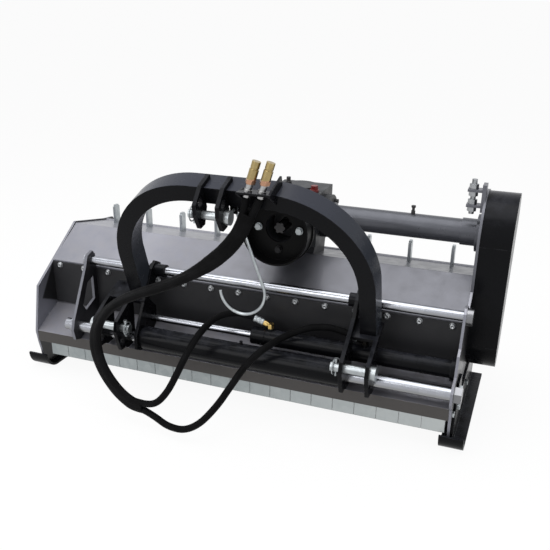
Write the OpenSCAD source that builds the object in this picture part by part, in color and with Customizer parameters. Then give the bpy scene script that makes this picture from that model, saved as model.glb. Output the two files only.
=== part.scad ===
// Flail mower for a three-point hitch, with hydraulic side shift.
// X runs along the cut, +X is the belt side. The tractor is at -Y, and Z is up.
// All sizes are in millimetres.

/* [Mower body] */
// inside width between the two side plates
cut_w = 1428; // [1200:10:1800]
// thickness of the side plates
plate_t = 8; // [6:1:12]
// thickness of the hood sheet
sheet_t = 5; // [3:0.5:8]
// gap between the hammer tips and the ridge of the hood
ridge_gap = 32; // [25:1:60]
// distance of the ridge behind the front panel
ridge_y = 155; // [120:1:200]
// height of the front edge of the hood
brow_h = 379; // [340:1:410]
// drop of the top strip from the ridge to the rear edge of the hood
strip_drop = 40; // [10:1:44]
// distance of the rear edge of the hood behind the front panel
rear_y = 345; // [320:1:370]
// height where the ledge leaves the front panel
ledge_h = 219; // [200:1:240]
// how far the ledge reaches forward
ledge_reach = 124; // [110:1:140]
// height of the front edge of the ledge
lip_h = 156; // [140:1:170]
// height of the lower edge of the front lip
lip_low = 117; // [105:1:130]
// number of bolts in the front panel
panel_bolt_n = 15; // [9:1:21]
// distance of the end bolts from the side plates
panel_edge = 31; // [20:1:50]
// number of rake tines on the hood
tine_n = 10; // [4:1:14]
// distance between two tines
tine_pitch = 140; // [100:1:160]

/* [Front flaps] */
// number of front flaps, a multiple of four
flap_n = 20; // [12:4:28]
// gap between two flaps
flap_gap = 1; // [1:0.5:6]
// free width between the left side plate and the first flap
flap_inset = 42; // [2:1:60]
// thickness of a flap
flap_t = 6; // [4:1:10]
// height of the lower edge of the flaps
flap_low = 67; // [40:1:90]
// diameter of the rod that carries the flaps
flap_rod_d = 12; // [10:1:16]

/* [Rotor] */
// distance of the rotor axis behind the front panel
rotor_y = 205; // [200:1:215]
// height of the rotor axis
rotor_h = 262; // [255:1:270]
// diameter of the rotor tube
rotor_d = 120; // [90:1:140]
// radius that the hammer tips reach
tip_r = 178; // [160:1:180]
// number of hammers, a multiple of four
hammer_n = 16; // [8:4:20]
// width of a hammer head
hammer_w = 76; // [50:1:80]
// diameter of the rotor shaft
rotor_shaft_d = 50; // [40:1:60]

/* [Drive] */
// height of the gearbox shafts above the ridge of the hood
drive_rise = 113; // [105:1:140]
// distance of the cross shaft behind the front panel
drive_y = 230; // [225:1:245]
// place of the input shaft along the cut
pto_x = 125; // [80:1:180]
// outside diameter of the shaft guard
bell_d = 215; // [190:1:230]
// diameter of the input shaft over its splines
pto_d = 34.9; // [34.9:0.1:35]
// diameter of the cross tube
tube_d = 76; // [60:1:90]
// pitch diameter of the drive pulley
drive_pulley_d = 192; // [160:1:210]
// pitch diameter of the rotor pulley
rotor_pulley_d = 128; // [110:1:150]
// number of belts
belt_n = 3; // [2:1:3]
// thickness of the belt guard along the cut
guard_w = 91; // [88:1:120]

/* [Hitch] */
// distance between the middles of the two lower hitch points
hitch_spread = 825; // [683:1:870]
// sideways place of the hitch on the guide bars
hitch_x = 30; // [20:1:45]
// diameter of the lower link pins
link_pin_d = 28; // [22:0.1:28.7]
// clear gap in each lower clevis
clevis_gap = 66; // [50:1:70]
// thickness of the hitch plates
hitch_plate_t = 12; // [8:1:16]
// diameter of the top link pin
top_pin_d = 25.4; // [19:0.1:25.5]
// clear gap in the top clevis
top_gap = 56; // [46:1:58]
// width of the arch tube, seen from the front
arch_w = 50; // [40:1:60]
// depth of the arch tube
arch_depth = 70; // [50:1:80]
// length of the arch, measured along its lean
arch_len = 454; // [440:1:500]
// outer bend radius of the arch
arch_r = 295; // [250:1:330]
// how far each arch leg stands inside its lower hitch point
leg_inset = 26.5; // [20:0.5:30]
// how far the arch stands to the belt side of the hitch middle
arch_shift = 38; // [30:1:42]
// forward lean of the arch in degrees
arch_lean = 19; // [10:0.5:25]

/* [Side shift] */
// diameter of the upper guide bar
upper_bar_d = 30; // [25:1:34]
// diameter of the lower guide bar
lower_bar_d = 40; // [36:1:44]
// diameter of the sleeve on the lower bar
sleeve_d = 76; // [60:1:78]
// outside diameter of the cylinder
barrel_d = 54; // [44:1:56]
// diameter of the cylinder rod
rod_d = 24; // [18:1:28]

/* [Ground gear] */
// diameter of the rear roller
roller_d = 160; // [140:1:170]
// distance of the roller axis behind the front panel
roller_y = 560; // [560:1:600]
// width of a skid sole
skid_w = 74; // [50:1:80]

/* [Hidden] */
$fn = 64;
// heights of the ridge and the rear edge of the hood, and of the gearbox shafts
ridge_h = rotor_h + tip_r + ridge_gap;
rear_h = ridge_h - strip_drop;
drive_h = ridge_h + drive_rise;
// half of the inside width, and the outside faces of the side plates
hw = cut_w / 2;
out_x = hw + plate_t;
guard_x0 = out_x;
guard_x1 = out_x + guard_w;
// guide bars and cylinder, as distance and height
ub = [-20, 408];
lb = [-120, 204];
cy = [-60, 253];
// flap rod
fr = [-104, 131];
// clearances: running fit, bolt hole, free gap
run = 0.05;
fit = 0.2;
// lower link pins and hitch middle
lp = [-172, 253];
foot_x = hitch_spread / 2;
arch_spread = hitch_spread - 2 * leg_inset;
foot_in = clevis_gap / 2;
foot_out = foot_in + hitch_plate_t;
// inner arm of the left foot, and the left end of the guide bars
arm_x = hitch_x - foot_x + foot_out + 40.5;
bar_x0 = hitch_x - foot_x - foot_out - 117.5;
// the arch stands on this point
arch_y = -60;
arch_z = 345;
// the origin is below the middle of the part's box without its hoses
box_lo_x = -out_x - 45;
box_hi_x = guard_x1;
box_lo_y = ap(-96, arch_len - 18)[0];
box_hi_y = roller_y + roller_d / 2;
org = [(box_lo_x + box_hi_x) / 2, (box_lo_y + box_hi_y) / 2];

// shaft hook: bend radius, rod, slant and middle of the bend
hook_r = 70;
hook_d = 9;
hook_a = 21;
hook_c = [65, 452];
// the pin at the top of the hook hangs under the crown of the arch
hook_y = ap(0, arch_len - arch_w)[0];
hook_z = ap(0, arch_len - arch_w)[1] - 28;
hook_len = (hook_z - hook_c[1] - hook_r * sin(hook_a)) / cos(hook_a);
hook_x = hook_c[0] + hook_r * cos(hook_a) - hook_len * sin(hook_a);

black = [0.07, 0.07, 0.08];
dark = [0.20, 0.20, 0.22];
grey = [0.52, 0.52, 0.58];
lipgrey = [0.40, 0.39, 0.38];
zinc = [0.70, 0.74, 0.75];
chrome = [0.86, 0.87, 0.90];
brass = [0.72, 0.57, 0.27];
red = [0.65, 0.08, 0.06];

// a flat outline in distance and height, drawn out along the cut
module along_x(x0, x1) {
    translate([x0, 0, 0]) rotate([90, 0, 90]) linear_extrude(x1 - x0) children();
}

// a round bar along the cut, at a distance and height
module rod_x(x0, x1, c, d) {
    translate([x0, c[0], c[1]]) rotate([0, 90, 0]) cylinder(h = x1 - x0, d = d);
}

// a round bar towards the rear
module rod_y(y0, y1, x, z, d) {
    translate([x, y1, z]) rotate([90, 0, 0]) cylinder(h = y1 - y0, d = d);
}

// a hexagon nut along the cut
module nut_x(x0, x1, c, af) {
    translate([x0, c[0], c[1]]) rotate([0, 90, 0]) cylinder(h = x1 - x0, d = af * 1.1547, $fn = 6);
}

function unit(v) = v / norm(v);
function right_of(v) = [v[1], -v[0]];
// points of a bent line moved sideways by t, with mitred corners
function side_line(p, t) = [for (i = [0 : len(p) - 1])
    let (a = right_of(unit(p[min(i + 1, len(p) - 1)] - p[min(i, len(p) - 2)])),
        b = right_of(unit(p[max(i, 1)] - p[max(i - 1, 0)])))
    p[i] + t * (a + b) / (1 + a * b)];
function turned(p) = [for (i = [len(p) - 1 : -1 : 0]) p[i]];

// a bent sheet seen from its end
module sheet2d(p, t) {
    polygon(concat(p, turned(side_line(p, t))));
}

// a loop around two circles of different size; the sides lie a hair inside the tangents
module loop2d(c1, r1, c2, r2) {
    d = c2 - c1;
    a = atan2(d[1], d[0]);
    b = acos((r1 - r2) / norm(d));
    s1 = r1 - 0.2;
    s2 = r2 - 0.2;
    polygon([c1 + s1 * [cos(a + b), sin(a + b)], c2 + s2 * [cos(a + b), sin(a + b)], c2,
        c2 + s2 * [cos(a - b), sin(a - b)], c1 + s1 * [cos(a - b), sin(a - b)], c1]);
    translate(c1) circle(r1);
    translate(c2) circle(r2);
}

// height of the top strip and of the ledge above a distance y
function strip_z(y) = ridge_h + (y - ridge_y) * (rear_h - ridge_h) / (rear_y - ridge_y);
function ledge_z(y) = ledge_h + (y - sheet_t) * (ledge_h - lip_h) / (sheet_t + ledge_reach);

panel_pitch = (cut_w - 2 * panel_edge) / (panel_bolt_n - 1);
function panel_x(i) = -hw + panel_edge + panel_pitch * i;
panel_bolt_h = brow_h - 16;
function tine_x(i) = tine_pitch * (i - (tine_n - 1) / 2);
tine_y = 300;
tine_s = [10, 30];
// the tines stand clear of the gearbox
tine_i = [for (i = [0 : tine_n - 1]) if (abs(tine_x(i) - pto_x) > 100) i];

module hood() color(grey) difference() {
    along_x(-hw, hw) sheet2d([[sheet_t, brow_h - 45], [sheet_t, brow_h], [ridge_y, ridge_h],
        [rear_y, rear_h]], sheet_t);
    for (i = [0 : panel_bolt_n - 1]) rod_y(-1, 40, panel_x(i), panel_bolt_h, 12.4);
    for (i = tine_i) translate([tine_x(i), tine_y, strip_z(tine_y)])
        cube([tine_s[0] + 0.6, tine_s[1] + 0.6, 120], center = true);
}

module front_ledge() color(lipgrey)
    along_x(-hw, hw) sheet2d([[sheet_t, ledge_h + 34], [sheet_t, ledge_h], [-ledge_reach, lip_h],
        [-ledge_reach, lip_low]], -sheet_t);

module front_panel() color(dark) difference() {
    translate([-hw, 0, ledge_h + 3]) cube([cut_w, sheet_t, brow_h - ledge_h - 8]);
    for (i = [0 : panel_bolt_n - 1]) rod_y(-1, 40, panel_x(i), panel_bolt_h, 12.4);
}

module panel_bolts() color(zinc) for (i = [0 : panel_bolt_n - 1]) {
    rod_y(0, 26, panel_x(i), panel_bolt_h, 12);
    rod_y(-3, 0, panel_x(i), panel_bolt_h, 21);
    rod_y(-7, -3, panel_x(i), panel_bolt_h, 15);
    translate([panel_x(i), 20, panel_bolt_h]) rotate([90, 0, 0]) cylinder(h = 10, d = 21, $fn = 6);
}

// outline of a side plate; the right one has lugs for the guide bars
function plate_pts(lugs) = concat([[ridge_y, ridge_h + 5], [rear_y, rear_h + 5], [400, rear_h - 2],
    [475, 330], [475, 110], [440, 60], [60, 12], [-62, 12], [-98, 28], [-ledge_reach + 6, 105],
    [-ledge_reach - 2, lip_h - 3]],
    lugs ? [[-140, 166], [-154, 186], [-154, 222], [-140, 240], [-106, 250]] : [], [[-92, 312]],
    lugs ? [[-70, 326], [-50, 396], [-46, 424], [-30, 437], [-6, 437], [12, 420], [40, 400]] : []);

door_c = [rear_y + 13, rear_h - 6];

module left_plate() color(grey) difference() {
    along_x(-out_x, -hw) polygon(plate_pts(false));
    rod_x(-out_x - 1, -hw + 1, [rotor_y, rotor_h], rotor_shaft_d + 12);
    rod_x(-out_x - 1, -hw + 1, door_c, 16 + 2 * run);
    rod_x(-out_x - 1, -hw + 1, fr, flap_rod_d + 2 * fit);
    for (c = plate_bolt_c) rod_x(-out_x - 1, -hw + 1, c, 12.4);
}

module right_plate() color(grey) difference() {
    along_x(hw, out_x) polygon(plate_pts(true));
    rod_x(hw - 1, out_x + 1, [rotor_y, rotor_h], rotor_shaft_d + 12);
    rod_x(hw - 1, out_x + 1, door_c, 16 + 2 * run);
    rod_x(hw - 1, out_x + 1, fr, flap_rod_d + 2 * fit);
    rod_x(hw - 1, out_x + 1, ub, upper_bar_d + 2 * fit);
    rod_x(hw - 1, out_x + 1, lb, lower_bar_d + 2 * fit);
    for (c = plate_bolt_c) rod_x(hw - 1, out_x + 1, c, 12.4);
}

// bolts through each side plate: skid, then roller arm
plate_bolt_c = [[-50, 190], [-50, 130], [150, 110], [380, 110], [400, 240], [440, 160]];
skid_t = 8;
// bend of the skid's toe, and the inner edge of its sole
bow_r = 60;
bow_y = -62;
sole_x = out_x - 30;

// a skid for the +X side: a bent sole and a web against the side plate
module skid() color(black) difference() {
    union() {
        along_x(out_x, out_x + skid_t) polygon([[-100, 62], [-88, 110], [-84, 225], [-22, 225], [24, 140],
            [430, 140], [430, skid_t / 2], [bow_y, skid_t / 2], [-94, 22]]);
        translate([sole_x, bow_y, 0]) cube([skid_w, 430 - bow_y, skid_t]);
        difference() {
            intersection() {
                rod_x(sole_x, sole_x + skid_w, [bow_y, bow_r], 2 * bow_r);
                translate([sole_x, bow_y - bow_r, 0]) cube([skid_w, bow_r, bow_r]);
            }
            rod_x(sole_x - 1, sole_x + skid_w + 1, [bow_y, bow_r], 2 * (bow_r - skid_t));
        }
    }
    for (i = [0 : 3]) rod_x(out_x - 1, out_x + skid_t + 1, plate_bolt_c[i], 12.4);
}

module right_skid() skid();
module left_skid() mirror([1, 0, 0]) skid();

module plate_bolts() color(zinc) for (s = [0, 1]) mirror([s, 0, 0]) for (c = plate_bolt_c) {
    rod_x(hw, out_x + skid_t, c, 12);
    nut_x(out_x + skid_t, out_x + skid_t + 8, c, 19);
}

// triangular bracket that holds the left ends of both guide bars
module bar_bracket() color(dark) difference() {
    along_x(bar_x0, bar_x0 + 10) difference() {
        polygon([[0, ledge_z(0)], [0, 425], [-14, 440], [-44, 430], [-58, 396], [-150, 232], [-160, 200],
            [-152, 164], [-ledge_reach, lip_h + 0.4], [-ledge_reach + 1, ledge_z(-ledge_reach + 1)]]);
        polygon([[-22, 352], [-22, 268], [-78, 246], [-94, 268], [-58, 340]]);
    }
    rod_x(bar_x0 - 1, bar_x0 + 11, ub, upper_bar_d + 2 * fit);
    rod_x(bar_x0 - 1, bar_x0 + 11, lb, lower_bar_d + 2 * fit);
}

module upper_bar() color(chrome) {
    rod_x(bar_x0, out_x, ub, upper_bar_d);
    rod_x(out_x, out_x + 18, ub, 52);
    rod_x(bar_x0 - 12, bar_x0, ub, 42);
}

module lower_bar() color(chrome) {
    rod_x(bar_x0, out_x, lb, lower_bar_d);
    nut_x(out_x, out_x + 22, lb, 46);
    rod_x(bar_x0 - 14, bar_x0, lb, 56);
    rod_x(bar_x0 - 40, bar_x0 - 14, lb, lower_bar_d);
}

// cylinder: barrel fixed to the right side plate, open bore for the rod
barrel_x0 = 76;
gland_w = 46;
bore_d = barrel_d - 10;
port_x = [barrel_x0 + 60, barrel_x0 + 364];
module cylinder_barrel() color(black) difference() {
    union() {
        rod_x(barrel_x0, hw, cy, barrel_d);
        rod_x(barrel_x0, barrel_x0 + gland_w, cy, barrel_d + 3);
        rod_x(hw - 14, hw, cy, barrel_d + 16);
        for (x = port_x) translate([x, cy[0], cy[1]]) cylinder(h = barrel_d / 2 + 6, d = 24);
    }
    rod_x(barrel_x0 + gland_w, hw - 24, cy, bore_d);
    rod_x(barrel_x0 - 1, barrel_x0 + gland_w + 1, cy, rod_d + 2 * run);
}

// brass elbows on the two ports; the hose leaves along their slant
elbow_turn = [[0, -72, 0], [0, -72, 0]];
elbow_len = [26, 26];
function port_c(i) = [port_x[i], cy[0], cy[1] + barrel_d / 2 + 6];
function elbow_axis(i) = [sin(elbow_turn[i][1]), 0, cos(elbow_turn[i][1])];
function elbow_end(i) = port_c(i) + [0, 0, 8] + elbow_len[i] * elbow_axis(i);
module port_fittings() color(brass) for (i = [0, 1]) {
    translate(port_c(i)) cylinder(h = 16, d = 22, $fn = 6);
    translate(port_c(i) + [0, 0, 8]) rotate(elbow_turn[i]) {
        cylinder(h = elbow_len[i] - 14, d = 15);
        translate([0, 0, 10]) cylinder(h = elbow_len[i] - 10, d = 20);
    }
}

// bevel gearbox on the ridge of the hood
case_s = 170;
case_wall = 14;
// the bell is bolted to the front of the nose; the input shaft stands in a recess behind it
flange_y = 40;
nose_y = 110;
nose_d = 164;
recess_d = 90;
flange_r = 67;
module gearbox_case() color(grey) difference() {
    union() {
        translate([pto_x - case_s / 2, drive_y - case_s / 2, drive_h - 85]) cube([case_s, case_s, 170]);
        rod_y(flange_y, drive_y, pto_x, drive_h, nose_d);
        rod_x(pto_x, pto_x + case_s / 2 + 25, [drive_y, drive_h], 140);
        rod_x(pto_x - case_s / 2 - 12, pto_x, [drive_y, drive_h], 120);
        along_x(pto_x - 75, pto_x + 75) polygon([[ridge_y + 5, strip_z(ridge_y + 5)],
            [drive_y + 50, strip_z(drive_y + 50)], [drive_y + 60, drive_h - 85],
            [drive_y - 60, drive_h - 85]]);
        translate([pto_x, drive_y, drive_h + 85]) cylinder(h = 10, d = 110);
    }
    translate([pto_x - 71, drive_y - 71, drive_h - 71]) cube([142, 142, 142]);
    rod_y(flange_y - 1, nose_y, pto_x, drive_h, recess_d);
    rod_y(nose_y - 1, drive_y, pto_x, drive_h, 50 + 2 * run);
    rod_x(pto_x, pto_x + 200, [drive_y, drive_h], 35 + 2 * run);
    for (a = [0, 90, 180, 270])
        rod_y(flange_y - 1, flange_y + 14, pto_x + flange_r * cos(a), drive_h + flange_r * sin(a), 12.4);
}

module gearbox_plug() color(red) translate([pto_x + 60, drive_y - 38, drive_h + 85]) {
    cylinder(h = 7, d = 30);
    translate([0, 0, 7]) cylinder(h = 13, d = 24, $fn = 6);
}

// breather, cover screws and the grease points of the cross tube
module gearbox_fittings() color(dark) {
    translate([pto_x - 40, drive_y - 5, drive_h + 95]) {
        cylinder(h = 8, d = 22, $fn = 6);
        translate([0, 0, 8]) cylinder(h = 14, d = 14);
    }
    for (a = [45, 135, 225, 315])
        rod_x(pto_x + case_s / 2 + 25, pto_x + case_s / 2 + 35,
            [drive_y + 57 * cos(a), drive_h + 57 * sin(a)], 15);
    translate([500, drive_y, drive_h + tube_d / 2 - 2]) {
        cylinder(h = 12, d = 13, $fn = 6);
        translate([0, 0, 12]) cylinder(h = 10, d = 9);
        translate([0, 0, 22]) cylinder(h = 6, d = 14);
    }
}

bell_y0 = -15;
module pto_bell() color(black) difference() {
    union() {
        rod_y(bell_y0, flange_y, pto_x, drive_h, bell_d);
        rod_y(flange_y - 8, flange_y, pto_x, drive_h, bell_d + 8);
    }
    rod_y(bell_y0 - 1, flange_y - 8, pto_x, drive_h, bell_d - 10);
    rod_y(bell_y0, flange_y + 1, pto_x, drive_h, recess_d);
    for (a = [0, 90, 180, 270])
        rod_y(0, flange_y + 1, pto_x + flange_r * cos(a), drive_h + flange_r * sin(a), 12.4);
}

module bell_bolts() color(zinc) for (a = [0, 90, 180, 270]) {
    rod_y(flange_y - 10, flange_y + 13, pto_x + flange_r * cos(a), drive_h + flange_r * sin(a), 12);
    rod_y(flange_y - 12, flange_y - 8, pto_x + flange_r * cos(a), drive_h + flange_r * sin(a), 24);
    translate([pto_x + flange_r * cos(a), flange_y - 12, drive_h + flange_r * sin(a)]) rotate([90, 0, 0])
        cylinder(h = 9, d = 21, $fn = 6);
}

tube_x0 = pto_x + case_s / 2 + 25;
module cross_tube() color(grey) difference() {
    union() {
        rod_x(tube_x0, hw, [drive_y, drive_h], tube_d);
        rod_x(tube_x0, tube_x0 + 12, [drive_y, drive_h], 92);
        rod_x(hw - 60, hw, [drive_y, drive_h], tube_d + 8);
        rod_x(hw - 14, hw, [drive_y, drive_h], tube_d + 40);
    }
    rod_x(tube_x0 - 1, hw - 40, [drive_y, drive_h], tube_d - 14);
    rod_x(tube_x0, hw + 1, [drive_y, drive_h], 35 + 2 * run);
    translate([500, drive_y, drive_h]) cylinder(h = tube_d, d = 13.6);
}

rc = [rotor_y, rotor_h];
dc = [drive_y, drive_h];
guard_r1 = 97;
guard_r2 = 132;
lug_z = [drive_h + 94, drive_h + 140];
lug_y = drive_y - 50;
// the guard plate carries on the right side plate, above the hood
module guard_plate() color(grey) difference() {
    union() {
        along_x(hw, out_x) difference() {
            loop2d(rc, guard_r1 + 4, dc, guard_r2 + 4);
            polygon(plate_pts(true));
            translate(dc) circle(24);
        }
        for (z = lug_z) translate([hw - 50, lug_y - 16, z]) cube([52, 32, 8]);
        translate([hw - 8, lug_y - 20, lug_z[0] - 12]) cube([12, 40, lug_z[1] - lug_z[0] + 36]);
    }
    for (z = lug_z) translate([hw - 34, lug_y, z - 1]) cylinder(h = 10, d = 16.4);
}

// the belt guard is a pan, open towards the guard plate
module belt_guard() color(black) difference() {
    along_x(guard_x0, guard_x1) loop2d(rc, guard_r1, dc, guard_r2);
    along_x(guard_x0 - 1, guard_x1 - 3) loop2d(rc, guard_r1 - 3, dc, guard_r2 - 3);
}

module tensioner() color(zinc) translate([hw - 34, lug_y, 0]) {
    translate([0, 0, lug_z[0] - 22]) cylinder(h = lug_z[1] - lug_z[0] + 58, d = 16);
    translate([0, 0, lug_z[0] - 14]) cylinder(h = 14, d = 27, $fn = 6);
    translate([0, 0, lug_z[0] + 8]) cylinder(h = 14, d = 27, $fn = 6);
    translate([0, 0, lug_z[1] - 14]) cylinder(h = 14, d = 27, $fn = 6);
    translate([0, 0, lug_z[1] + 8]) cylinder(h = 14, d = 27, $fn = 6);
}

module rotor_bearings() color(dark) {
    difference() {
        union() {
            rod_x(guard_x0, guard_x0 + 12, rc, 132);
            rod_x(guard_x0, guard_x0 + 24, rc, 96);
        }
        rod_x(guard_x0 - 1, guard_x0 + 25, rc, rotor_shaft_d + 2 * run);
    }
    difference() {
        union() {
            rod_x(-out_x - 12, -out_x, rc, 150);
            rod_x(-out_x - 30, -out_x, rc, 104);
            rod_x(-out_x - 45, -out_x - 30, rc, 84);
        }
        rod_x(-out_x - 38, -out_x + 1, rc, rotor_shaft_d + 2 * run);
    }
}

wc = [roller_y, roller_d / 2];
module roller_arms() color(black) for (s = [0, 1]) mirror([s, 0, 0]) difference() {
    along_x(out_x, out_x + skid_t) polygon([[360, 225], [390, 275], [430, 275], [475, 215], [600, 115],
        [605, 55], [585, 32], [545, 32], [440, 142], [380, 172]]);
    rod_x(out_x - 1, out_x + skid_t + 1, wc, 30 + 2 * run);
    for (i = [4, 5]) rod_x(out_x - 1, out_x + skid_t + 1, plate_bolt_c[i], 12.4);
}

module rake_tines() color(zinc) for (i = tine_i) translate([tine_x(i), tine_y, 0]) {
    translate([-tine_s[0] / 2, -tine_s[1] / 2, strip_z(tine_y) - 22]) cube([tine_s[0], tine_s[1], 88]);
    translate([-tine_s[0] / 2, -tine_s[1] / 2 + 6, strip_z(tine_y) + 66]) cube([tine_s[0], 18, 6]);
}

module flap_rod() color(zinc) {
    rod_x(-out_x, out_x, fr, flap_rod_d);
    rod_x(-out_x - 6, -out_x, fr, 20);
    rod_x(out_x, out_x + 6, fr, 20);
}

// belts lie in the pulley grooves
belt_pitch = 17;
belt_x0 = guard_x0 + 36;
function belt_x(i) = belt_x0 + belt_pitch * i;
module drive_belts() color(black) for (i = [0 : belt_n - 1])
    along_x(belt_x(i) - 6, belt_x(i) + 6) difference() {
        loop2d(rc, rotor_pulley_d / 2, dc, drive_pulley_d / 2);
        loop2d(rc, rotor_pulley_d / 2 - 8, dc, drive_pulley_d / 2 - 8);
    }

module pulley(c, d, bore) difference() {
    rod_x(belt_x0 - 10, belt_x(belt_n - 1) + 10, c, d);
    for (i = [0 : belt_n - 1]) difference() {
        rod_x(belt_x(i) - 6.6, belt_x(i) + 6.6, c, d + 2);
        rod_x(belt_x(i) - 7, belt_x(i) + 7, c, d - 18);
    }
    rod_x(belt_x0 - 11, belt_x(belt_n - 1) + 11, c, bore);
}

module drive_pulley() color(dark) pulley(dc, drive_pulley_d, 35);
module rotor_pulley() color(dark) pulley(rc, rotor_pulley_d, rotor_shaft_d);
pulley_x1 = belt_x(belt_n - 1) + 10;

// place a point of the arch plane: t is rearward through the tube, w is up along the lean
function ap(t, w) = [arch_y - w * sin(arch_lean) + t * cos(arch_lean),
    arch_z + w * cos(arch_lean) + t * sin(arch_lean)];

module arch_frame() {
    translate([hitch_x + arch_shift, arch_y, arch_z]) rotate([90 + arch_lean, 0, 0]) children();
}

arch_half = (arch_spread + arch_w) / 2;
arch_wall = 6;

// section of the arch tube, as a hollow rectangle
module arch_section() difference() {
    square([arch_w, arch_depth]);
    translate([arch_wall, arch_wall]) square([arch_w - 2 * arch_wall, arch_depth - 2 * arch_wall]);
}

// half of the arch, for +X: a leg, a bend and half of the crown
module arch_half_tube() translate([0, 0, -arch_depth / 2]) {
    translate([arch_half - arch_w, arch_len - arch_r, 0]) rotate([90, 0, 0])
        linear_extrude(arch_len - arch_r) arch_section();
    translate([arch_half - arch_r, arch_len - arch_r, 0]) rotate_extrude(angle = 90)
        translate([arch_r - arch_w, 0]) arch_section();
    translate([0, arch_len - arch_w, 0]) rotate([90, 0, 90])
        linear_extrude(arch_half - arch_r) arch_section();
}

// the arch, with two ears under its crown for the shaft hook
module arch() color(black) difference() {
    union() {
        arch_frame() {
            arch_half_tube();
            mirror([1, 0, 0]) arch_half_tube();
        }
        for (e = [[-14, 27], [9, 35]]) translate([hitch_x + hook_x - 11, hook_y + e[0], hook_z - 11])
            cube([22, 5, e[1] + 11]);
    }
    rod_y(hook_y - 33, hook_y + 37, hitch_x + hook_x, hook_z, hook_d + 2 * run);
}

// outline of a hitch plate with its clevis in front; an ear reaches up round the upper bar
module clevis2d(ear) {
    polygon(concat(ear ? [[12, 400], [12, 424], [-20, 440], [-50, 420], [-75, 372], [-130, 330]]
        : [ap(32, 0), ap(-52, 0), [-130, 318]],
        [[-196, 282], [-206, 250], [-196, 214], [-182, 176], [-158, 176], [-140, 168], [-106, 172],
        [-92, 190]],
        ear ? [[-92, 330], [-30, 372]] : [[-92, 320], ap(32, -hitch_plate_t)]));
}

module foot_holes(x0, x1) {
    rod_x(x0, x1, ub, 42 + 2 * fit);
    rod_x(x0, x1, lb, lower_bar_d + 2 * run);
    rod_x(x0, x1, lp, link_pin_d + 2 * fit);
    rod_x(x0, x1, lp + [-2, -50], 24);
}

// sloping plate under an arch leg
module top_plate(x0, x1) {
    along_x(x0, x1) polygon([ap(-52, 0), ap(32, 0), ap(32, -hitch_plate_t), ap(-52, -hitch_plate_t)]);
}

// two hitch plates under a top plate; the one on side e has an ear
module foot_pair(x, e) difference() {
    union() {
        for (s = [-1, 1]) along_x(x + s * (foot_in + foot_out) / 2 - hitch_plate_t / 2,
            x + s * (foot_in + foot_out) / 2 + hitch_plate_t / 2) clevis2d(s == e);
        top_plate(x - foot_out, x + foot_out);
    }
    foot_holes(x - foot_out - 1, x + foot_out + 1);
}

// room for the arch legs, where they pass the hitch plates
module leg_room() arch_frame() for (s = [-1, 1])
    translate([s * arch_spread / 2 - arch_w / 2, 0, -arch_depth / 2]) cube([arch_w, 220, arch_depth]);

module right_foot() color(black) difference() {
    foot_pair(hitch_x + foot_x, -1);
    leg_room();
}

// the left foot also carries the cylinder rod on an inner arm
module left_foot() color(black) difference() {
    union() {
        foot_pair(hitch_x - foot_x, 0);
        top_plate(hitch_x - foot_x, arm_x + 10);
        along_x(arm_x, arm_x + 10) polygon([[12, 400], [12, 424], [-20, 440], [-50, 420], [-168, 226],
            [-168, 180], [-140, 166], [-106, 172], [-92, 190], [-38, 222], [-32, 284], [-86, 336],
            [-30, 372]]);
    }
    rod_x(arm_x - 1, arm_x + 11, ub, 42 + 2 * fit);
    rod_x(arm_x - 1, arm_x + 11, lb, lower_bar_d + 2 * run);
    rod_x(arm_x - 1, arm_x + 11, cy, 20 + 2 * fit);
    leg_room();
}

module slide_sleeve() color(black) difference() {
    union() {
        rod_x(arm_x + 10, hitch_x + foot_x - foot_out, lb, sleeve_d);
        translate([60, lb[0], lb[1] + sleeve_d / 2 - 2]) cylinder(h = 14, d = 10);
    }
    rod_x(arm_x + 9, hitch_x + foot_x - foot_out + 1, lb, lower_bar_d + 2 * run);
    rod_x(arm_x + 80, hitch_x + foot_x - foot_out - 70, lb, sleeve_d - 16);
}

module upper_bushes() color(dark) difference() {
    union() {
        rod_x(arm_x - 8, arm_x + 48, ub, 42);
        rod_x(hitch_x + foot_x - foot_out - 22, hitch_x + foot_x - foot_in + 8, ub, 42);
    }
    rod_x(bar_x0, hw, ub, upper_bar_d + 2 * run);
}

// top link clevis on the crown of the arch
crown = arch_len;
top_low = [-66, crown - 68];
top_high = [-68, crown - 26];
module top_bracket() color(black) difference() {
    for (s = [-1, 1]) along_x(hitch_x + s * (top_gap + hitch_plate_t) / 2 - hitch_plate_t / 2,
        hitch_x + s * (top_gap + hitch_plate_t) / 2 + hitch_plate_t / 2)
        polygon([ap(14, crown), ap(14, crown + 14), ap(-44, crown + 12), ap(-96, crown - 18),
            ap(-104, crown - 47), ap(-92, crown - 97), ap(-64, crown - 101), ap(-35, crown - 60),
            ap(-35, crown)]);
    rod_x(-200, 300, ap(top_low[0], top_low[1]), top_pin_d + 2 * fit);
    rod_x(-200, 300, ap(top_high[0], top_high[1]), top_pin_d + 2 * fit);
}

piston_x = barrel_x0 + gland_w + 62;
module cylinder_rod() color(chrome) {
    rod_x(arm_x + 10, piston_x, cy, rod_d);
    rod_x(piston_x, piston_x + 30, cy, bore_d - 2 * run);
    rod_x(arm_x - 26, arm_x + 10, cy, 20);
    nut_x(arm_x - 18, arm_x, cy, 32);
}

// hitch pins with a head at one end and a cross hole at the other
module hitch_pin(x, c, d, half, turn) translate([x, 0, 0]) mirror([turn, 0, 0]) difference() {
    union() {
        rod_x(-half - 8, half + 30, c, d);
        rod_x(-half - 16, -half, c, d + 16);
    }
    translate([half + 14, c[0], c[1] - 40]) cylinder(h = 80, d = 9);
}

module link_pins() color(zinc) {
    hitch_pin(hitch_x - foot_x, lp, link_pin_d, foot_out, 0);
    hitch_pin(hitch_x + foot_x, lp, link_pin_d, foot_out, 1);
}

tp = ap(top_low[0], top_low[1]);
top_half = top_gap / 2 + hitch_plate_t;
module top_pin() color(zinc) hitch_pin(hitch_x, tp, top_pin_d, top_half, 1);

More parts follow.
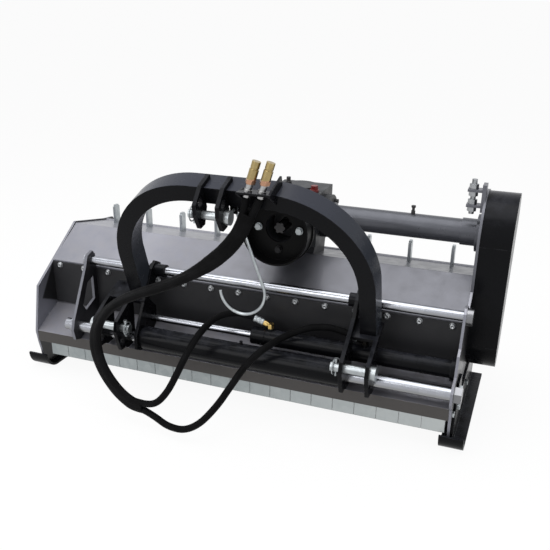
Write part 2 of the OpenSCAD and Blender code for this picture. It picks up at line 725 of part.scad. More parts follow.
// a linch pin: a peg with a head, and a spring ring round the end of the hitch pin
module linch(x, c, d, s) translate([x, c[0], c[1]]) {
    translate([0, 0, -d / 2 - 14]) cylinder(h = d + 26, d = 8.6);
    translate([0, 0, d / 2 + 4]) cylinder(h = 10, d = 14);
    translate([s * 7, 0, 0]) rotate([0, 90, 0])
        rotate_extrude() translate([d / 2 + 8, 0]) circle(d = 4, $fn = 16);
}

module linch_pins() color(brass) {
    linch(hitch_x - foot_x + foot_out + 14, lp, link_pin_d, 1);
    linch(hitch_x + foot_x - foot_out - 14, lp, link_pin_d, -1);
    linch(hitch_x - top_half - 14, tp, top_pin_d, -1);
}

// parking plate for the two hose couplings, on the crown of the arch
park_x = 163;
park_gap = 40;
park = ap(-52, crown + 15);
coup_tilt = [-4, 16, 0];
module coupling_holder() color(black) difference() {
    union() {
        translate([park_x - 46, park[0] - 26, park[1] - 4]) cube([96, 44, 6]);
        along_x(park_x + 44, park_x + 50) polygon([ap(-35, crown), ap(20, crown), ap(20, crown + 26),
            ap(-40, crown + 26), park + [-26, 0], park + [-26, -4], ap(-35, crown - 30)]);
        along_x(park_x - 46, park_x - 40) polygon([ap(-35, crown), ap(-10, crown), ap(-36, crown + 14),
            park + [-26, 0], park + [-26, -4], ap(-35, crown - 30)]);
    }
    arch_frame() translate([-400, 0, -arch_depth / 2]) cube([800, crown, arch_depth]);
    for (s = [-1, 1]) translate([park_x + s * park_gap / 2, park[0] - 6, park[1]]) rotate(coup_tilt)
        cylinder(h = 40, d = 22, center = true);
}

// quick couplings with their steel ferrules
module hose_couplings() color(brass) for (s = [-1, 1])
    translate([park_x + s * park_gap / 2, park[0] - 6, park[1]]) rotate(coup_tilt) {
        translate([0, 0, -14]) cylinder(h = 39, d = 19);
        translate([0, 0, -6]) cylinder(h = 14, d = 21.6);
        translate([0, 0, 24]) cylinder(h = 12, d = 29, $fn = 6);
        translate([0, 0, 36]) cylinder(h = 28, d = 26);
        translate([0, 0, 64]) cylinder(h = 4, d = 21);
        translate([0, 0, 68]) cylinder(h = 18, d = 24);
    }

// a bent rod that holds the drive shaft off the ground
module pto_hook() color(zinc) translate([hitch_x, hook_y, 0]) rotate([90, 0, 0])
    translate([hook_c[0], hook_c[1], 0]) {
        rotate([0, 0, hook_a - 196]) rotate_extrude(angle = 196) translate([hook_r, 0]) circle(d = hook_d);
        rotate([0, 0, hook_a]) translate([hook_r, 0, 0]) rotate([-90, 0, 0])
            cylinder(h = hook_len, d = hook_d);
        rotate([0, 0, hook_a]) translate([hook_r, 0, 0]) sphere(d = hook_d + 1);
        rotate([0, 0, hook_a]) translate([hook_r, hook_len, 0]) sphere(d = hook_d + 6);
        rotate([0, 0, hook_a]) translate([hook_r, hook_len, -14]) cylinder(h = 28, d = hook_d);
    }

module pto_shaft() color(zinc) difference() {
    union() {
        rod_y(36, nose_y - 6, pto_x, drive_h, pto_d);
        rod_y(nose_y - 6, drive_y - 62, pto_x, drive_h, 50);
        translate([pto_x, drive_y - 62, drive_h]) rotate([-90, 0, 0]) cylinder(h = 30, d1 = 134, d2 = 74);
    }
    for (a = [0 : 60 : 300]) translate([pto_x, 35, drive_h]) rotate([0, a, 0])
        translate([-4.3, 0, 14.5]) cube([8.6, 56, 10]);
}

module cross_shaft() color(zinc) {
    rod_x(pto_x + 34, pulley_x1, dc, 35);
    translate([pto_x + 34, drive_y, drive_h]) rotate([0, 90, 0]) cylinder(h = 30, d1 = 30, d2 = 56);
}

module rotor() color(dark) {
    difference() {
        rod_x(-hw + 10, hw - 10, rc, rotor_d);
        rod_x(-hw + 22, hw - 22, rc, rotor_d - 24);
    }
    rod_x(-out_x - 36, -hw + 10, rc, rotor_shaft_d);
    rod_x(hw - 10, pulley_x1, rc, rotor_shaft_d);
    for (i = [0 : hammer_n - 1]) at_hammer(i) {
        for (s = [-1, 1]) translate([s * 20 - 4, -20, rotor_d / 2 - 6]) cube([8, 40, 41]);
        for (s = [-1, 1]) rod_x(s * 20 - 4, s * 20 + 4, [0, hammer_c], 40);
        rod_x(-30, 30, [0, hammer_c], 16);
    }
}

hammer_c = rotor_d / 2 + 35;
hammer_pitch = 85 * cut_w / 1450 * 16 / hammer_n;
module at_hammer(i) translate([hammer_pitch * (i - (hammer_n - 1) / 2), rotor_y, rotor_h])
    rotate([90 * (i % 4), 0, 0]) children();

module hammer() difference() {
    union() {
        rod_x(-14, 14, [0, hammer_c], 34);
        translate([-14, -7, hammer_c]) cube([28, 14, tip_r - hammer_c - 20]);
        translate([-hammer_w / 2, -8, tip_r - 46]) cube([hammer_w, 16, 45]);
    }
    rod_x(-20, 20, [0, hammer_c], 16 + 2 * run);
}

module hammer_row(k) color(dark) for (i = [k : 4 : hammer_n - 1]) at_hammer(i) hammer();

flap_pitch = (cut_w - flap_inset - 8) / flap_n;
flap_eye = 22;
module flap(x) difference() {
    union() {
        rod_x(x + flap_gap / 2, x + flap_pitch - flap_gap / 2, fr, flap_eye);
        translate([x + flap_gap / 2, fr[0] - flap_t / 2 - 4, flap_low])
            cube([flap_pitch - flap_gap, flap_t, fr[1] - flap_low]);
    }
    rod_x(x - 1, x + flap_pitch + 1, fr, flap_rod_d + 2 * run);
}

module flap_group(k) color(zinc) for (i = [k * flap_n / 4 : (k + 1) * flap_n / 4 - 1])
    flap(-hw + flap_inset + i * flap_pitch);

module rear_door() color(grey) difference() {
    union() {
        along_x(-hw + 4, hw - 4) sheet2d([door_c + [0, 4], [430, 398], [468, 305], [468, 185]], sheet_t);
        rod_x(-out_x, out_x, door_c, 16);
    }
}

module roller() color(dark) difference() {
    union() {
        rod_x(-hw + 10, hw - 10, wc, roller_d);
        rod_x(-out_x - 14, out_x + 14, wc, 30);
    }
    difference() {
        rod_x(-hw + 22, hw - 22, wc, roller_d - 16);
        rod_x(-hw + 20, hw - 20, wc, 30);
    }
}

// hose routes, as round points from the couplings to the ports
sleeve_route = [[158, -270, 758], [140, -266, 704], [112, -262, 646], [66, -258, 590], [4, -256, 538],
    [-60, -254, 496], [-136, -252, 456], [-218, -252, 420], [-286, -252, 384], [-342, -256, 334],
    [-372, -262, 280], [-374, -270, 222], [-348, -282, 158], [-296, -294, 100], [-238, -304, 68],
    [-190, -310, 66]];
hose_a_route = [[-236, -302, 72], [-190, -308, 72], [-142, -315, 94], [-106, -308, 136],
    [-84, -286, 186], [-68, -254, 236], [-52, -208, 282], [-34, -156, 312], [-10, -108, 325],
    [28, -74, 325], elbow_end(0) + 40 * elbow_axis(0), elbow_end(0) + 2 * elbow_axis(0)];
hose_b_route = [[-236, -308, 64], [-190, -314, 56], [-146, -320, 46], [-92, -334, 34], [-34, -342, 40],
    [16, -334, 70], [60, -308, 124], [92, -276, 180], [120, -240, 230], [150, -198, 266],
    [180, -148, 284], [216, -102, 298], [268, -70, 314], [326, -60, 321],
    elbow_end(1) + 40 * elbow_axis(1), elbow_end(1) + 2 * elbow_axis(1)];
sleeve_half = [24, 13];
hose_half = [11, 11];

// a smooth place on a route
function pt(p, i) = p[max(0, min(len(p) - 1, i))];
function on_route(p, i, u) = 0.5 * (2 * pt(p, i) + (pt(p, i + 1) - pt(p, i - 1)) * u
    + (2 * pt(p, i - 1) - 5 * pt(p, i) + 4 * pt(p, i + 1) - pt(p, i + 2)) * u * u
    + (3 * pt(p, i) - pt(p, i - 1) - 3 * pt(p, i + 1) + pt(p, i + 2)) * u * u * u);
function route(p, k) = concat([for (i = [0 : len(p) - 2]) for (j = [0 : k - 1]) on_route(p, i, j / k)],
    [p[len(p) - 1]]);
sides = 10;

// a tube along a route: half holds its half width and half depth
module tube(p, half, k) {
    c = route(p, k);
    n = len(c);
    points = [for (i = [0 : n - 1])
        let (t = unit(c[min(i + 1, n - 1)] - c[max(i - 1, 0)]), a = unit(cross(t, [0, 1, 0])),
            b = cross(t, a))
        for (j = [0 : sides - 1]) c[i] + half[0] * cos(j * 360 / sides) * a
            + half[1] * sin(j * 360 / sides) * b];
    faces = concat([[for (j = [sides - 1 : -1 : 0]) j]],
        [for (i = [0 : n - 2]) for (j = [0 : sides - 1]) let (q = (j + 1) % sides)
            [i * sides + j, i * sides + q, (i + 1) * sides + q, (i + 1) * sides + j]],
        [[for (j = [0 : sides - 1]) (n - 1) * sides + j]]);
    polyhedron(points, faces);
}

module hose_sleeve() color(black) tube(sleeve_route, sleeve_half, 2);
module hose_a() color(black) tube(hose_a_route, hose_half, 3);
module hose_b() color(black) tube(hose_b_route, hose_half, 2);

translate([-org[0], -org[1], 0]) {
    hood();
    front_ledge();
    front_panel();
    panel_bolts();
    left_plate();
    right_plate();
    left_skid();
    right_skid();
    plate_bolts();
    bar_bracket();
    upper_bar();
    lower_bar();
    cylinder_barrel();
    port_fittings();
    gearbox_case();
    gearbox_plug();
    gearbox_fittings();
    pto_bell();
    bell_bolts();
    cross_tube();
    guard_plate();
    belt_guard();
    tensioner();
    rotor_bearings();
    roller_arms();
    rake_tines();
    flap_rod();
    drive_belts();
    arch();
    left_foot();
    right_foot();
    slide_sleeve();
    upper_bushes();
    top_bracket();
    cylinder_rod();
    link_pins();
    top_pin();
    linch_pins();
    coupling_holder();
    hose_couplings();
    hose_sleeve();
    hose_a();
    hose_b();
    pto_hook();
    pto_shaft();
    cross_shaft();
    drive_pulley();
    rotor();
    rotor_pulley();
    hammer_row(0);  // hammers_1
    hammer_row(1);  // hammers_2
    hammer_row(2);  // hammers_3
    hammer_row(3);  // hammers_4
    flap_group(0);  // flaps_1
    flap_group(1);  // flaps_2
    flap_group(2);  // flaps_3
    flap_group(3);  // flaps_4
    rear_door();
    roller();
}
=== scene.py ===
import math

import bmesh
import bpy
from mathutils import Matrix, Vector


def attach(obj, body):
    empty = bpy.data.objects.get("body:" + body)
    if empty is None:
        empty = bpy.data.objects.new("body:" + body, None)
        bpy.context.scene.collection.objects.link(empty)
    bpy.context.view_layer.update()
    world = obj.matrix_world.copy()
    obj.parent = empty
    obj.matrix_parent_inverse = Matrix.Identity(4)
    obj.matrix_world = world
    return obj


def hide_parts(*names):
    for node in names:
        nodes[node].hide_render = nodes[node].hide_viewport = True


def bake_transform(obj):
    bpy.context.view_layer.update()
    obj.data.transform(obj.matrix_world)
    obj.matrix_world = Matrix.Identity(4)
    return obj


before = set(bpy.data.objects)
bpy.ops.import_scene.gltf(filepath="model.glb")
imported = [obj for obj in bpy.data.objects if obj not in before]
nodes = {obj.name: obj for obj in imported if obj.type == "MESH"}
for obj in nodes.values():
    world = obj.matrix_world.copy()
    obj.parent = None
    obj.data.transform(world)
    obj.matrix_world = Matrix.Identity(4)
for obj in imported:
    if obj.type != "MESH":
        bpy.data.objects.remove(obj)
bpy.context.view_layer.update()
scene = bpy.context.scene
scene.view_settings.view_transform = "Standard"

# the source counts X and Y from the middle of the front panel, in millimetres
ORIGIN = Vector((23.0, 173.641, 0.0))
MILLIMETRES = Matrix.Scale(0.001, 4)


def at(x, y, z):
    """A point of the source, in metres in the shared frame."""
    return (Vector((x, y, z)) - ORIGIN) / 1000


# camera at the photograph's viewing angle

def make_camera():
    yaw, pitch, roll = (math.radians(a) for a in (20.49, 23.377, 0.779))
    forward = Vector((-math.sin(yaw) * math.cos(pitch), math.cos(yaw) * math.cos(pitch), -math.sin(pitch)))
    right = Vector((math.cos(yaw), math.sin(yaw), 0))
    up = right.cross(forward)
    side = right * math.cos(roll) + up * math.sin(roll)
    top = up * math.cos(roll) - right * math.sin(roll)
    data = bpy.data.cameras.new("camera")
    data.sensor_width = 36
    data.lens = 47.926
    data.shift_x = 0.0070
    data.shift_y = 0.0632
    cam = bpy.data.objects.new("camera", data)
    scene.collection.objects.link(cam)
    m = Matrix((side, top, -forward)).transposed().to_4x4()
    m.translation = Vector((0.8456, -2.19294, 1.2534))
    cam.matrix_world = m
    scene.camera = cam


make_camera()

# material helpers


class Tree:
    """A principled material with short calls for its nodes."""

    def __init__(self, name):
        self.mat = bpy.data.materials.new(name)
        self.mat.use_nodes = True
        self.nt = self.mat.node_tree
        self.nt.nodes.clear()
        out = self.new("ShaderNodeOutputMaterial")
        self.bsdf = self.new("ShaderNodeBsdfPrincipled")
        self.link(self.bsdf.outputs[0], out.inputs[0])
        self.pos = self.new("ShaderNodeTexCoord").outputs["Object"]

    def new(self, kind, **props):
        n = self.nt.nodes.new(kind)
        for k, v in props.items():
            setattr(n, k, v)
        return n

    def link(self, a, b):
        self.nt.links.new(a, b)

    def put(self, socket, value):
        if isinstance(value, bpy.types.NodeSocket):
            self.link(value, socket)
        else:
            socket.default_value = value

    def set(self, **values):
        for k, v in values.items():
            self.put(self.bsdf.inputs[k.replace("_", " ")], v)

    def scaled(self, x, y, z):
        n = self.new("ShaderNodeMapping")
        self.link(self.pos, n.inputs["Vector"])
        n.inputs["Scale"].default_value = (x, y, z)
        return n.outputs[0]

    def noise(self, scale, detail=3.0, rough=0.55, vec=None):
        n = self.new("ShaderNodeTexNoise")
        self.link(vec or self.pos, n.inputs["Vector"])
        n.inputs["Scale"].default_value = scale
        n.inputs["Detail"].default_value = detail
        n.inputs["Roughness"].default_value = rough
        return n.outputs["Fac"]

    def cells(self, scale, vec=None):
        n = self.new("ShaderNodeTexVoronoi")
        self.link(vec or self.pos, n.inputs["Vector"])
        n.inputs["Scale"].default_value = scale
        return n.outputs["Color"]

    def span(self, value, low, high, to_low=0.0, to_high=1.0):
        n = self.new("ShaderNodeMapRange")
        self.link(value, n.inputs["Value"])
        for i, v in enumerate((low, high, to_low, to_high)):
            n.inputs[i + 1].default_value = v
        return n.outputs[0]

    def math(self, kind, a, b=0.5):
        n = self.new("ShaderNodeMath", operation=kind)
        self.put(n.inputs[0], a)
        self.put(n.inputs[1], b)
        return n.outputs[0]

    def mix(self, fac, a, b, blend="MIX"):
        n = self.new("ShaderNodeMix", data_type="RGBA", blend_type=blend)
        self.put(n.inputs[0], fac)
        for i, v in ((6, a), (7, b)):
            self.put(n.inputs[i], (*v, 1.0) if isinstance(v, tuple) else v)
        return n.outputs[2]

    def bump(self, height, strength, distance, normal=None):
        n = self.new("ShaderNodeBump")
        n.inputs["Strength"].default_value = strength
        n.inputs["Distance"].default_value = distance
        self.link(height, n.inputs["Height"])
        if normal is not None:
            self.link(normal, n.inputs["Normal"])
        return n.outputs[0]

    def round_edges(self, radius):
        n = self.new("ShaderNodeBevel", samples=4)
        n.inputs["Radius"].default_value = radius
        return n.outputs[0]

    def edge_mask(self, rounded):
        """Near 1 where the rounded normal turns away from the flat one."""
        geo = self.new("ShaderNodeNewGeometry")
        dot = self.new("ShaderNodeVectorMath", operation="DOT_PRODUCT")
        self.link(rounded, dot.inputs[0])
        self.link(geo.outputs["True Normal"], dot.inputs[1])
        return self.span(dot.outputs["Value"], 0.995, 0.90)


def paint(name, colour, shade, rough, spread=0.07, metallic=0.0, coat=0.0, coat_rough=0.1, level=0.5,
          edge=None, radius=0.002, dust_and_sheen=None, wave=0.0):
    """Paint in two tones, with worn edges, a lighter film on upward faces and a slow wave where they are
    given; the film is dust on the grey paints and a painted sheen on the gloss black, and the gloss blacks'
    worn edges are also painted edge highlights.
    """
    t = Tree(name)
    large, mid, fine = t.noise(3.1, 4), t.noise(26, 5, 0.6), t.noise(420, 2)
    base = t.mix(t.span(large, 0.3, 0.7), colour, shade)
    base = t.mix(t.span(mid, 0.45, 0.75, 0.0, 0.35), base, shade)
    # a lighter film on upward faces: dust on the grey paints, a painted sheen on the gloss black
    if dust_and_sheen:
        dust_and_sheen_film = t.math("MULTIPLY", t.span(facing(t, 2), 0.4, 1.0, 0.0, 0.30), t.span(mid, 0.3, 0.7))
        base = t.mix(dust_and_sheen_film, base, dust_and_sheen)
    rounded = t.round_edges(radius)
    # worn edges; on the gloss blacks they also stand in as painted edge highlights
    if edge:
        worn = t.math("MULTIPLY", t.edge_mask(rounded), t.span(t.noise(70, 4), 0.42, 0.66, 0.0, 0.75))
        base = t.mix(worn, base, edge)
    t.set(Base_Color=base, Metallic=metallic, Coat_Weight=coat, Coat_Roughness=coat_rough)
    t.set(Specular_IOR_Level=level)
    t.set(Roughness=t.span(mid, 0.3, 0.75, rough - spread, rough + spread))
    normal = t.bump(fine, 0.10, 0.0006, rounded)
    if wave:
        normal = t.bump(t.noise(7.5, 2), wave, 0.004, normal)
    t.set(Normal=normal)
    return t.mat


def facing(t, axis):
    """How far a face looks along one axis of the shared frame."""
    n = t.new("ShaderNodeSeparateXYZ")
    t.link(t.new("ShaderNodeNewGeometry").outputs["Normal"], n.inputs[0])
    return n.outputs[axis]


def place(t, axis):
    """Where a point lies along one axis of the shared frame, in metres."""
    n = t.new("ShaderNodeSeparateXYZ")
    t.link(t.pos, n.inputs[0])
    return n.outputs[axis]


def recolour(mat, build):
    """Lay more colours over a finished paint; build gets the tree and lists pairs of mask and colour."""
    t = Tree.__new__(Tree)
    t.mat, t.nt = mat, mat.node_tree
    t.bsdf = next(n for n in t.nt.nodes if n.type == "BSDF_PRINCIPLED")
    t.pos = next(n for n in t.nt.nodes if n.type == "TEX_COORD").outputs["Object"]
    socket = t.bsdf.inputs["Base Color"]
    under = socket.links[0].from_socket
    for mask, colour in build(t):
        under = t.mix(mask, under, colour)
    t.link(under, socket)


def plated(name, colour, shade, rough, spread=0.08, spangle=60, lines=None, radius=0.001):
    """Bare or plated metal with a faint crystal pattern or drawn lines."""
    t = Tree(name)
    mid = t.noise(34, 5, 0.6)
    cell = t.new("ShaderNodeSeparateColor")
    t.link(t.cells(spangle), cell.inputs[0])
    base = t.mix(t.span(cell.outputs[0], 0.0, 1.0, 0.0, 0.55), colour, shade)
    base = t.mix(t.span(mid, 0.45, 0.8, 0.0, 0.5), base, shade)
    fine = t.noise(300, 2, 0.5, t.scaled(*lines)) if lines else t.noise(500, 2)
    rounded = t.round_edges(radius)
    t.set(Base_Color=base, Metallic=1.0)
    t.set(Roughness=t.span(mid, 0.3, 0.75, rough - spread, rough + spread))
    t.set(Normal=t.bump(fine, 0.08, 0.0004, rounded))
    return t.mat


def casting(name, colour, shade, rough):
    """Grainy cast iron."""
    t = Tree(name)
    grain, mid = t.noise(240, 4, 0.7), t.noise(18, 4)
    t.set(Base_Color=t.mix(t.span(mid, 0.3, 0.7), colour, shade), Metallic=0.3)
    t.set(Roughness=t.span(grain, 0.3, 0.7, rough - 0.1, rough + 0.1))
    t.set(Normal=t.bump(grain, 0.35, 0.0012, t.round_edges(0.002)))
    return t.mat


def braid(name, colour, shade, pitch, rough):
    """Woven nylon over a hose: two crossing sets of strands, from the tube's own length and girth."""
    t = Tree(name)
    uv = t.new("ShaderNodeSeparateXYZ")
    t.link(t.new("ShaderNodeTexCoord").outputs["UV"], uv.inputs[0])
    turn = 2 * math.pi / pitch
    one = t.math("SINE", t.math("MULTIPLY", t.math("ADD", uv.outputs[0], uv.outputs[1]), turn))
    two = t.math("SINE", t.math("MULTIPLY", t.math("SUBTRACT", uv.outputs[0], uv.outputs[1]), turn))
    weave = t.span(t.math("MULTIPLY", one, two), -1.0, 1.0)
    worn = t.math("MULTIPLY", t.span(t.noise(22, 4), 0.40, 0.72), weave)
    t.set(Base_Color=t.mix(worn, colour, shade))
    t.set(Specular_IOR_Level=0.05, Sheen_Weight=0.01, Sheen_Roughness=0.4)
    t.set(Roughness=t.span(weave, 0.0, 1.0, rough + 0.12, rough - 0.08))
    t.set(Normal=t.bump(weave, 0.5, 0.0009))
    return t.mat


HOOD = dict(rough=0.40, spread=0.09, metallic=0.55, coat=0.15, edge=(0.42, 0.42, 0.45),
            dust_and_sheen=(0.36, 0.35, 0.34))
# the gloss blacks' lighter edges are partly wear and partly a painted edge highlight
GLOSS = dict(rough=0.26, spread=0.07, level=0.065, coat=0.02, coat_rough=0.12, edge=(0.035, 0.035, 0.039),
             radius=0.0035)
M = {
    "hood": paint("hood_grey", (0.225, 0.228, 0.262), (0.165, 0.168, 0.198), wave=0.06, **HOOD),
    "left": paint("left_plate_grey", (0.225, 0.228, 0.262), (0.165, 0.168, 0.198), **HOOD),
    "right": paint("right_plate_grey", (0.225, 0.228, 0.262), (0.165, 0.168, 0.198), **HOOD),
    "ledge": paint("ledge_grey", (0.215, 0.218, 0.250), (0.150, 0.150, 0.175), 0.40, 0.10, metallic=0.5,
                   edge=(0.36, 0.35, 0.35), dust_and_sheen=(0.24, 0.22, 0.20)),
    "panel": paint("panel_charcoal", (0.024, 0.024, 0.026), (0.016, 0.016, 0.018), 0.46, 0.08, level=0.20,
                   edge=(0.10, 0.10, 0.10), wave=0.04),
    # the black's lighter bluish film on upward faces is a painted sheen
    "black": paint("gloss_black", (0.0042, 0.0044, 0.0054), (0.0030, 0.0031, 0.0038),
                   dust_and_sheen=(0.070, 0.074, 0.092), **GLOSS),
    "arch": paint("arch_black", (0.0042, 0.0044, 0.0054), (0.0030, 0.0031, 0.0038), **GLOSS),
    "bell": paint("bell_black", (0.0030, 0.0030, 0.0032), (0.0020, 0.0020, 0.0022), 0.40, 0.08, level=0.08,
                  radius=0.002),
    "tube": paint("tube_grey", (0.078, 0.081, 0.094), (0.056, 0.058, 0.068), 0.34, 0.08, metallic=0.5,
                  edge=(0.25, 0.25, 0.27)),
    "case": paint("case_charcoal", (0.022, 0.023, 0.026), (0.014, 0.015, 0.017), 0.44, 0.08, level=0.2,
                  edge=(0.14, 0.14, 0.15)),
    "bracket": paint("bracket_grey", (0.150, 0.153, 0.176), (0.110, 0.112, 0.130), 0.42, 0.08,
                     metallic=0.4),
    "plug": paint("plug_red", (0.17, 0.010, 0.009), (0.11, 0.007, 0.006), 0.40),
    "zinc": plated("zinc_plate", (0.42, 0.445, 0.455), (0.28, 0.305, 0.32), 0.36, 0.09, 70),
    "bell_bolt": plated("bell_bolt_zinc", (0.42, 0.445, 0.455), (0.28, 0.305, 0.32), 0.36, 0.09, 70),
    "bolt": plated("bolt_zinc", (0.36, 0.37, 0.38), (0.22, 0.23, 0.24), 0.36, 0.09, 90),
    "flap": plated("flap_zinc", (0.325, 0.352, 0.357), (0.245, 0.272, 0.280), 0.42, 0.10, 45),
    "chrome": plated("hard_chrome", (0.37, 0.38, 0.41), (0.29, 0.30, 0.33), 0.22, 0.05, 20, (0.2, 30, 30)),
    "gold": plated("yellow_zinc", (0.62, 0.44, 0.15), (0.50, 0.36, 0.20), 0.30, 0.09, 90),
    "coupling": plated("coupling_zinc", (0.38, 0.295, 0.135), (0.27, 0.205, 0.100), 0.30, 0.09, 90),
    "iron": casting("dark_iron", (0.030, 0.029, 0.030), (0.018, 0.018, 0.019), 0.55),
    "belt": braid("belt_rubber", (0.010, 0.010, 0.010), (0.02, 0.02, 0.02), 0.010, 0.7),
    "hose": braid("hose_weave", (0.0016, 0.0016, 0.0018), (0.0068, 0.0068, 0.0076), 0.0042, 0.50),
}


# second colours: painted shade on the insides and the lip, a painted sheen on the arch, plated ends; further
# painted light and shade is named where it is laid

# Y and Z, in metres, where the painted shade on the left plate's inner side starts, and its slopes
PANEL_TOP, PANEL_LEAN = (-0.168, 0.381), 0.70
LEDGE_BACK, LEDGE_FALL = (-0.168, 0.222), 0.45


def inside_left(t):
    """Painted shade behind a leaning panel's line, and dark below the ledge."""
    inner = t.span(facing(t, 0), 0.5, 0.6)
    y, z = place(t, 1), place(t, 2)
    panel_y = t.math("SUBTRACT", t.math("MULTIPLY", z, PANEL_LEAN), PANEL_LEAN * PANEL_TOP[1] - PANEL_TOP[0])
    behind = t.span(t.math("SUBTRACT", y, panel_y), -0.004, 0.004)
    edge_z = t.math("SUBTRACT", LEDGE_BACK[1] + LEDGE_FALL * LEDGE_BACK[0], t.math("MULTIPLY", y, LEDGE_FALL))
    above = t.span(t.math("SUBTRACT", z, edge_z), -0.003, 0.003)
    dark = t.math("MULTIPLY", inner, t.math("MULTIPLY", behind, above))
    low = t.math("MULTIPLY", inner, t.span(z, 0.118, 0.112))
    return [(dark, (0.022, 0.022, 0.024)), (low, (0.008, 0.008, 0.009))]


def hood_painted_reflection(t):
    """Painted reflection: the hood darkens towards its middle, where it mirrors the hitch, and a little
    towards its right end.
    """
    x = place(t, 0)
    return [(t.span(x, -0.42, 0.02, 0.0, 0.80), (0.062, 0.063, 0.073)),
            (t.span(x, 0.25, 0.70, 0.0, 0.35), (0.140, 0.143, 0.163))]


def plated_coupling(t):
    """Silver ferrules and copper-tinted hexagons below the yellow sleeves."""
    z = place(t, 2)
    return [(t.span(z, 0.809, 0.806), (0.40, 0.225, 0.145)),
            (t.span(z, 0.7945, 0.7925), (0.36, 0.36, 0.36))]


recolour(M["hood"], hood_painted_reflection)
# painted sheen: the arch's upward and right-looking faces are lighter and bluer
recolour(M["arch"], lambda t: [(t.span(facing(t, 2), 0.2, 0.8, 0.0, 0.8), (0.042, 0.045, 0.058)),
                               (t.span(facing(t, 0), 0.3, 0.9, 0.0, 0.6), (0.035, 0.040, 0.050))])
recolour(M["coupling"], plated_coupling)
# painted shade: the lower bell bolts are darkened
recolour(M["bell_bolt"], lambda t: [(t.span(place(t, 2), 0.545, 0.535), (0.020, 0.020, 0.021))])
# painted shade: the second port's elbow is darkened
recolour(M["gold"], lambda t: [(t.span(place(t, 0), 0.20, 0.21), (0.020, 0.019, 0.017))])
# painted shade on the bracket's faces that look along X
recolour(M["bracket"], lambda t: [(t.span(facing(t, 0), 0.5, 0.6), (0.020, 0.020, 0.023))])
recolour(M["left"], inside_left)
recolour(M["right"], lambda t: [(t.span(facing(t, 0), 0.5, 0.6), (0.010, 0.010, 0.012))])
# painted shade: the ledge's forward-looking lip is darker
recolour(M["ledge"], lambda t: [(t.span(facing(t, 1), -0.7, -0.9), (0.055, 0.051, 0.049))])
# painted shade on the bars' downward-looking faces; the ends past X 0.698 m are darker
recolour(M["chrome"], lambda t: [(t.span(facing(t, 2), 0.15, -0.35, 0.0, 0.75), (0.22, 0.22, 0.215)),
                                 (t.span(place(t, 0), 0.698, 0.700, 0.0, 0.8), (0.16, 0.16, 0.165))])
# painted light: the flaps grow lighter towards the right; painted shade: dark lines along their edges
recolour(M["flap"], lambda t: [(t.span(place(t, 0), -0.1, 0.7, 0.0, 0.8), (0.46, 0.485, 0.485)),
                               (t.edge_mask(t.round_edges(0.0016)), (0.06, 0.06, 0.062))])

LOOKS = {
    "hood": "hood guard_plate rear_door",
    "case": "gearbox_case",
    "bracket": "bar_bracket",
    "left": "left_plate",
    "right": "right_plate",
    "tube": "cross_tube",
    "ledge": "front_ledge",
    "panel": "front_panel",
    "black": "left_skid right_skid cylinder_barrel belt_guard roller_arms left_foot right_foot"
             " slide_sleeve top_bracket coupling_holder upper_bushes",
    "arch": "arch",
    "bolt": "panel_bolts tensioner",
    "bell_bolt": "bell_bolts",
    "zinc": "plate_bolts rake_tines flap_rod link_pins top_pin linch_pins pto_hook cross_shaft",
    "flap": "flaps_1 flaps_2 flaps_3 flaps_4",
    "chrome": "upper_bar lower_bar cylinder_rod",
    "gold": "port_fittings",
    "coupling": "hose_couplings",
    "plug": "gearbox_plug",
    "iron": "gearbox_fittings pto_shaft rotor_bearings rotor rotor_pulley drive_pulley"
            " hammers_1 hammers_2 hammers_3 hammers_4 roller",
    "bell": "pto_bell",
    "hose": "hose_sleeve hose_a hose_b",
    "belt": "drive_belts",
}
for look, names in LOOKS.items():
    for name in names.split():
        data = nodes[name].data
        data.materials.clear()
        data.materials.append(M[look])


# mesh helpers

def piece(name, bm, look, body=None):
    """A smooth-shaded object from a finished mesh."""
    mesh = bpy.data.meshes.new(name)
    bmesh.ops.recalc_face_normals(bm, faces=bm.faces)
    bm.to_mesh(mesh)
    bm.free()
    for poly in mesh.polygons:
        poly.use_smooth = True
    mesh.materials.append(M[look])
    obj = bpy.data.objects.new(name, mesh)
    scene.collection.objects.link(obj)
    if body:
        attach(obj, body)
    return obj


def spline(points, k):
    """The same smooth line through the points as the source draws."""
    p = [Vector(q) for q in points]
    last = len(p) - 1

    def get(i):
        return p[max(0, min(last, i))]

    line = []
    for i in range(last):
        for j in range(k):
            u = j / k
            line.append(0.5 * (2 * get(i) + (get(i + 1) - get(i - 1)) * u
                        + (2 * get(i - 1) - 5 * get(i) + 4 * get(i + 1) - get(i + 2)) * u * u
                        + (3 * get(i) - get(i - 1) - 3 * get(i + 1) + get(i + 2)) * u ** 3))
    line.append(p[-1])
    return line


def even(line, step):
    """The line with its points a step apart."""
    total = sum((b - a).length for a, b in zip(line, line[1:]))
    n = max(2, round(total / step))
    out, need, gone = [line[0]], total / n, 0.0
    for a, b in zip(line, line[1:]):
        d = (b - a).length
        while len(out) < n and gone + d >= need * len(out) - 1e-9:
            out.append(a.lerp(b, (need * len(out) - gone) / max(d, 1e-9)))
        gone += d
    out.append(line[-1])
    return out


def side_axes(line, twist=None):
    """Across and thick directions at each point; a twist, in degrees by share of length, turns both."""
    axes, gone = [], 0.0
    total = sum((b - a).length for a, b in zip(line, line[1:]))
    for i in range(len(line)):
        t = (line[min(i + 1, len(line) - 1)] - line[max(i - 1, 0)]).normalized()
        a = t.cross(Vector((0, 1, 0))).normalized()
        b = t.cross(a)
        gone += (line[i] - line[max(i - 1, 0)]).length
        f = math.radians(twist(gone / total)) if twist else 0.0
        axes.append((a * math.cos(f) + b * math.sin(f), b * math.cos(f) - a * math.sin(f)))
    return axes


